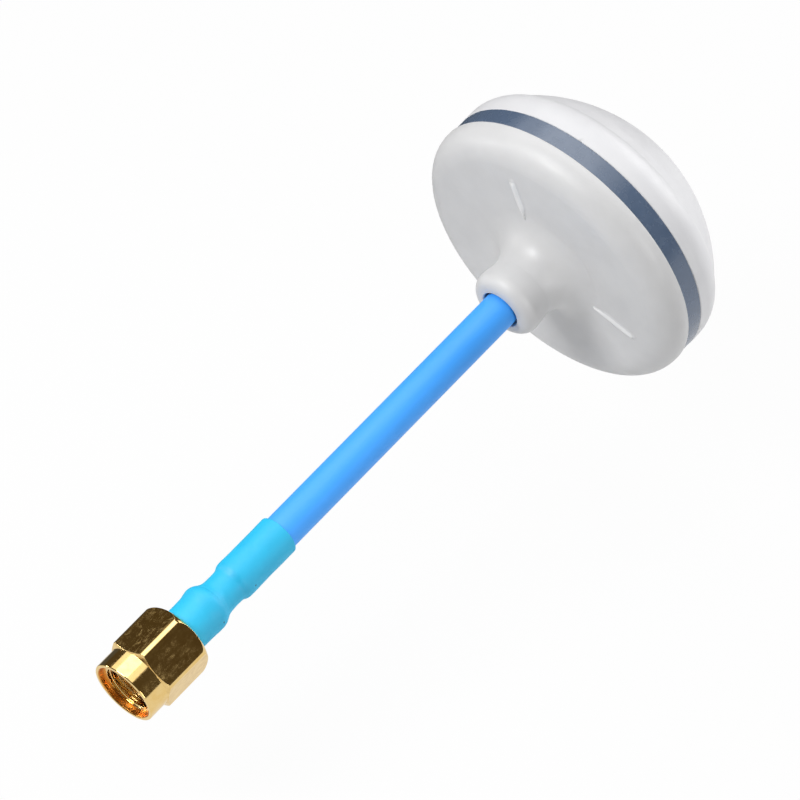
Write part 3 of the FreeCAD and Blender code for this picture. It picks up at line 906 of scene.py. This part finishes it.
def nut_piece(finish, side_finish, mouth_shade_finish):
    angles = nut_angles()
    points = turned_points([nut_profile(degrees) for degrees in angles], angles)
    piece = grid_piece("hexagon_nut", points, "nut", finish.material,
                       smooth_columns=False)
    piece.data.materials.append(side_finish.material)
    piece.data.materials.append(mouth_shade_finish.material)
    piece.data.polygons.foreach_set("material_index", face_slots(points).ravel().tolist())
    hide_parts("coupling_nut")


# Plug inside the nut

# Nose, flange, groove, rear and ferrule, then back through the bores: radius, station and rounding
PLUG_SECTION = (
    (2.05, 0.0, 0.03), (2.30, 0.0, 0.10), (2.30, 2.20, 0.03), (2.75, 2.20, 0.05),
    (2.75, 3.60, 0.04), (2.40, 3.60, 0.03), (2.40, 4.20, 0.03), (2.75, 4.20, 0.04),
    (2.75, 5.50, 0.10), (2.38, 5.50, 0.03), (2.38, 9.80, 0.10), (1.82, 9.80, 0.03),
    (1.82, 5.00, 0.02), (1.49, 5.00, 0.02), (1.49, 4.20, 0.02), (2.05, 4.20, 0.02),
)


def plug_piece(finish):
    profile = rounded(PLUG_SECTION)
    piece = turned("turned_plug_body", profile, "antenna", finish.material)
    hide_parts("plug_body")


# Stage, light and camera

# Directions are given as the camera sees them: to the right, down and away from it.
STEM_IN_VIEW = Vector((0.64089812, -0.65101102, 0.40673611))
ACROSS_IN_VIEW = Vector((0.713, 0.701, 0.0))
# The nut's mouth as seen from the camera, in millimetres
MOUTH_IN_VIEW = Vector((-28.9249, 30.6311, 522.4660))
LENS = 225.0
SENSOR = 36.0
CLIP_START = 0.01
CLIP_END = 10.0

# The table: how steeply the camera looks down on it, its distance behind the object in
# millimetres and half its width in metres
CAMERA_HEIGHT = 44.3
TABLE_GAP = 14.0
TABLE_HALF = 3.0
TABLE_COLOUR = (0.60, 0.60, 0.60, 1.0)
TABLE_ROUGHNESS = 0.9
TABLE_SHINE = 0.1
# Share of plain white that the camera sees, the rest being the table's real shading
TABLE_WHITE_SEEN = 0.96
# What metal mirrors of the table, from its dark left to its white right, in millimetres aside
TABLE_DARK_MIRRORED = 0.08
TABLE_WHITE_MIRRORED = 0.84
MIRROR_FADE_FROM = -40.0
MIRROR_FADE_TO = -22.0
ROOM_LIGHT = (0.10, 0.10, 0.10, 1.0)
ROOM_MIRRORED = (0.075, 0.058, 0.034, 1.0)
WHITE = (1.0, 1.0, 1.0, 1.0)

# Each lamp: direction, distance, width and height in metres, and the radiance a mirror shows of it
BOX_IN_VIEW = (-0.033, -0.912, -0.409)
LAMPS = (
    ("soft_box", BOX_IN_VIEW, 0.55, 0.98, 0.36, 1.18),
    ("box_middle", BOX_IN_VIEW, 0.54, 0.44, 0.30, 1.15),
    ("key", (-0.614, -0.349, -0.708), 0.24, 0.105, 0.105, 14.6),
    ("top_fill", (0.766, -0.638, 0.079), 0.60, 0.46, 0.46, 3.9),
    ("front_fill", (0.647, 0.347, -0.678), 0.60, 0.26, 0.26, 5.1),
    ("left_fill", (-0.966, -0.232, 0.111), 0.60, 0.10, 0.10, 16.0),
)
# Station that the lamps face
LAMPS_FACE = 40.0


def view_axes():
    """The part's X, Y and Z as the camera sees them."""
    up = STEM_IN_VIEW.normalized()
    across = (ACROSS_IN_VIEW - up * ACROSS_IN_VIEW.dot(up)).normalized()
    return across, up.cross(across), up


def to_part(vector):
    """A direction as the camera sees it, turned into the part's axes."""
    return Vector([axis.dot(vector) for axis in view_axes()])


def add_camera():
    data = bpy.data.cameras.new("camera")
    data.lens = LENS
    data.sensor_width = SENSOR
    data.clip_start = CLIP_START
    data.clip_end = CLIP_END
    camera = bpy.data.objects.new("camera", data)
    bpy.context.scene.collection.objects.link(camera)
    right = to_part(Vector((1, 0, 0)))
    above = to_part(Vector((0, -1, 0)))
    back = to_part(Vector((0, 0, -1)))
    place = (to_part(-MOUTH_IN_VIEW) + Vector((0, 0, NUT_FRONT))) * MM
    turn = Matrix((right, above, back)).transposed().to_4x4()
    camera.matrix_world = Matrix.Translation(place) @ turn
    bpy.context.scene.camera = camera


def table_normal():
    """Upward direction of the table."""
    height = math.radians(CAMERA_HEIGHT)
    return to_part(Vector((0, -math.cos(height), -math.sin(height))))


def table_axes():
    """Directions along the table to the camera's right and away from it, and the table's normal."""
    normal = table_normal()
    side = to_part(Vector((1, 0, 0)))
    side = (side - normal * side.dot(normal)).normalized()
    return side, normal.cross(side), normal


def mirrored_white(tree, position):
    """How white the table is in the metal: dark on the left, and white beyond the nut's mouth."""
    rightward = Vector((0, 0, 1)).cross(table_normal()).normalized()
    aside = tree.nodes.new("ShaderNodeVectorMath")
    aside.operation = "DOT_PRODUCT"
    aside.inputs[1].default_value = rightward
    tree.links.new(position, aside.inputs[0])
    place = tree.nodes.new("ShaderNodeSeparateXYZ")
    tree.links.new(position, place.inputs["Vector"])
    beyond_mouth = math_node(tree, "MINIMUM", place.outputs["Z"], 0.0)
    reach = math_node(tree, "SUBTRACT", aside.outputs["Value"], beyond_mouth)
    return range_node(tree, reach, MIRROR_FADE_FROM * MM, MIRROR_FADE_TO * MM,
                      TABLE_DARK_MIRRORED, TABLE_WHITE_MIRRORED)


def stage_material():
    """White where the camera looks, with a little real shading so that the shadow shows."""
    material = bpy.data.materials.new("stage_white")
    material.use_nodes = True
    tree = material.node_tree
    shader = tree.nodes["Principled BSDF"]
    shader.inputs["Base Color"].default_value = TABLE_COLOUR
    shader.inputs["Roughness"].default_value = TABLE_ROUGHNESS
    shader.inputs["Specular IOR Level"].default_value = TABLE_SHINE
    path = tree.nodes.new("ShaderNodeLightPath")
    camera_ray = path.outputs["Is Camera Ray"]
    glossy_ray = path.outputs["Is Glossy Ray"]
    geometry = tree.nodes.new("ShaderNodeNewGeometry")
    mirrored = mirrored_white(tree, geometry.outputs["Position"])
    glow = tree.nodes.new("ShaderNodeEmission")
    strength = math_node(tree, "MULTIPLY_ADD", glossy_ray, mirrored, camera_ray)
    tree.links.new(strength, glow.inputs["Strength"])
    white_share = math_node(tree, "MULTIPLY_ADD", camera_ray, TABLE_WHITE_SEEN, glossy_ray)
    white = mix_shaders(tree, white_share, shader.outputs["BSDF"], glow.outputs["Emission"])
    clear = tree.nodes.new("ShaderNodeBsdfTransparent")
    from_behind = math_node(tree, "MULTIPLY", camera_ray, geometry.outputs["Backfacing"])
    one_sided = mix_shaders(tree, from_behind, white, clear.outputs["BSDF"])
    tree.links.new(one_sided, tree.nodes["Material Output"].inputs["Surface"])
    return material


def add_table():
    """A pale plane behind the object, at its distance from the rim or the nut."""
    side, away, normal = table_axes()
    edge = math.hypot(normal.x, normal.y)
    rim_level = min(normal.z * z - edge * radius for radius, z in base_profile())
    nut_level = min(normal.z * z - edge * HEX_CORNER for z in (HEX_FRONT, CROWN_START))
    level = (min(rim_level, nut_level) - TABLE_GAP) * MM
    mesh = bpy.data.meshes.new("table")
    corners = []
    for x, y in ((-1, -1), (1, -1), (1, 1), (-1, 1)):
        corners.append(tuple(normal * level + side * x * TABLE_HALF + away * y * TABLE_HALF))
    mesh.from_pydata(corners, [], [(0, 1, 2, 3)])
    mesh.materials.append(stage_material())
    table = bpy.data.objects.new("table", mesh)
    bpy.context.scene.collection.objects.link(table)


def add_lamp(name, view_direction, distance, width, height, radiance):
    """A soft box that faces the middle of the stem, its height along the stem."""
    direction = to_part(Vector(view_direction)).normalized()
    middle = Vector((0, 0, LAMPS_FACE)) * MM
    across = Vector((0, 0, 1)).cross(direction).normalized()
    turn = Matrix((across, direction.cross(across), direction)).transposed().to_4x4()
    data = bpy.data.lights.new(name, "AREA")
    data.shape = "RECTANGLE"
    data.size = width
    data.size_y = height
    data.energy = radiance * math.pi * width * height
    lamp = bpy.data.objects.new(name, data)
    bpy.context.scene.collection.objects.link(lamp)
    lamp.matrix_world = Matrix.Translation(middle + direction * distance) @ turn


def add_lamps():
    for lamp in LAMPS:
        add_lamp(*lamp)


def add_world():
    """White behind everything, and a dim warm room in what the metal mirrors."""
    world = bpy.data.worlds.new("studio")
    bpy.context.scene.world = world
    world.use_nodes = True
    tree = world.node_tree
    background = tree.nodes["Background"]
    path = tree.nodes.new("ShaderNodeLightPath")
    room = mix_colours(tree, path.outputs["Is Glossy Ray"], ROOM_LIGHT, ROOM_MIRRORED)
    seen = mix_colours(tree, path.outputs["Is Camera Ray"], room, WHITE)
    tree.links.new(seen, background.inputs["Color"])
    background.inputs["Strength"].default_value = 1.0


# The whole


def finish_hidden_nodes(nodes):
    """Materials for the solids that stay as they are."""
    gold = plain_metal_finish("contact_gold_plate", (0.93, 0.66, 0.27), 0.22)
    bronze = plain_metal_finish("ring_bronze", (0.62, 0.43, 0.24), 0.30)
    tin = plain_metal_finish("bright_solder", (0.72, 0.72, 0.70), 0.24)
    silver = plain_metal_finish("silver_plate", (0.86, 0.85, 0.82), 0.25)
    braid = plain_metal_finish("tinned_braid", (0.62, 0.62, 0.60), 0.40)
    copper = plain_metal_finish("copper_wire", (0.80, 0.42, 0.24), 0.28)
    white = inner_plastic_finish("white_fluoropolymer", (0.86, 0.86, 0.83), 0.45)
    rubber = inner_plastic_finish("gasket_red", (0.42, 0.07, 0.04), 0.60)
    melt = inner_plastic_finish("hot_melt", (0.78, 0.74, 0.60), 0.30)
    chosen = {
        "plug_insulator": white, "coax_dielectric": white, "socket_contact": gold,
        "retaining_ring": bronze, "gasket": rubber, "ferrule_solder": tin,
        "centre_conductor": silver, "coax_shield": braid, "neck_adhesive": melt,
        "feed_solder": tin, "shield_solder": tin,
        "leaf_1": copper, "leaf_2": copper, "leaf_3": copper,
    }
    for node, finish in chosen.items():
        mesh = nodes[node].data
        mesh.materials.clear()
        mesh.materials.append(finish.material)


def main():
    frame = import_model()
    bpy.context.scene.view_settings.view_transform = "Standard"
    # The lower shell's darker grey is painted shade; the ridges' lighter grey is a painted
    # highlight
    base_piece(shell_finish("shell_grey_painted_shade", *UNDERSIDE_SHADE_GREYS), shell_finish("ridge_painted_highlight_grey", *RIDGE_HIGHLIGHT_GREYS))
    band_piece(band_finish())
    cap_piece(shell_finish("cap_grey", *CAP_GREYS))
    jacket_piece(jacket_finish())
    sleeve_piece(sleeve_finish())
    # The mouth's darker gold is painted shade in the recess
    nut_piece(gold_finish("nut_gold_plate", *NUT_GOLDS, roughness=0.10, mottle=0.005),
              flat_gold_finish(),
              gold_finish("mouth_gold_painted_shade", *MOUTH_SHADE_GOLDS, roughness=0.24, mottle=0.0005,
                          tool_marks=0.0002))
    plug_piece(gold_finish("plug_gold_plate", *PLUG_GOLDS, roughness=0.22, mottle=0.006))
    finish_hidden_nodes(frame["nodes"])
    add_camera()
    add_table()
    add_lamps()
    add_world()


main()
